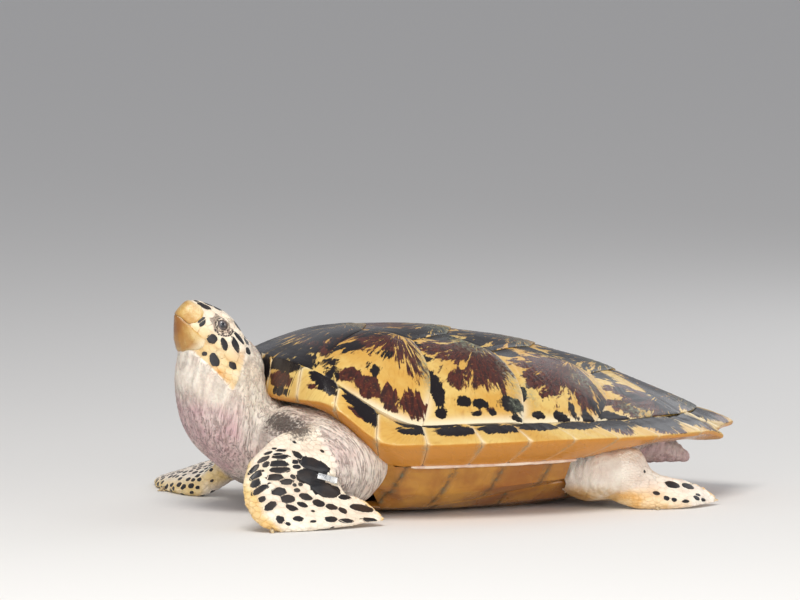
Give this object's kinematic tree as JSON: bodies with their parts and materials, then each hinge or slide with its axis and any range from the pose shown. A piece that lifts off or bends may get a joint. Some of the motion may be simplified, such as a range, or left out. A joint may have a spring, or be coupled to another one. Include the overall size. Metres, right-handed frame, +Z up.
{
  "type": "sea turtle museum model",
  "caption": "Life-size hawksbill sea turtle resting on its belly with its head raised and a small metal tag on its left front flipper.",
  "frame": {"origin": "on the ground below the crown of the shell, in the flat of the plastron that the turtle rests on", "axes": "+X from the head towards the tail, -Y towards the turtle's left side, +Z up"},
  "size_m": [1.0199, 0.8368, 0.3635],
  "materials": {
    "carapace_scute": "gloss",
    "marginal_scute": "gloss",
    "plastron_scute": "satin",
    "body_skin": "satin",
    "head_skin": "satin",
    "flipper_skin": "satin",
    "beak": "satin",
    "claw": "satin",
    "eye": "gloss",
    "tag_metal": "satin"
  },
  "bodies": {
    "root": {"vertebral_1": "carapace_scute", "vertebral_2": "carapace_scute", "vertebral_3": "carapace_scute", "vertebral_4": "carapace_scute", "vertebral_5": "carapace_scute", "costal_left_1": "carapace_scute", "costal_left_2": "carapace_scute", "costal_left_3": "carapace_scute", "costal_left_4": "carapace_scute", "costal_right_1": "carapace_scute", "costal_right_2": "carapace_scute", "costal_right_3": "carapace_scute", "costal_right_4": "carapace_scute", "nuchal": "marginal_scute", "marginal_left_1": "marginal_scute", "marginal_left_2": "marginal_scute", "marginal_left_3": "marginal_scute", "marginal_left_4": "marginal_scute", "marginal_left_5": "marginal_scute", "marginal_left_6": "marginal_scute", "marginal_left_7": "marginal_scute", "marginal_left_8": "marginal_scute", "marginal_left_9": "marginal_scute", "marginal_left_10": "marginal_scute", "marginal_left_11": "marginal_scute", "marginal_right_1": "marginal_scute", "marginal_right_2": "marginal_scute", "marginal_right_3": "marginal_scute", "marginal_right_4": "marginal_scute", "marginal_right_5": "marginal_scute", "marginal_right_6": "marginal_scute", "marginal_right_7": "marginal_scute", "marginal_right_8": "marginal_scute", "marginal_right_9": "marginal_scute", "marginal_right_10": "marginal_scute", "marginal_right_11": "marginal_scute", "supracaudal_left": "marginal_scute", "supracaudal_right": "marginal_scute", "plastron": "plastron_scute", "bridge_left": "plastron_scute", "bridge_right": "plastron_scute", "trunk": "body_skin", "neck": "body_skin", "head": "head_skin", "eye_left": "eye", "eye_right": "eye", "upper_beak": "beak", "lower_beak": "beak", "tail": "body_skin", "front_flipper_left": "flipper_skin", "front_flipper_right": "flipper_skin", "hind_flipper_left": "flipper_skin", "hind_flipper_right": "flipper_skin", "claw_front_left": "claw", "claw_front_right": "claw", "claw_hind_left": "claw", "claw_hind_right": "claw", "flipper_tag": "tag_metal"}
  },
  "joints": []
}
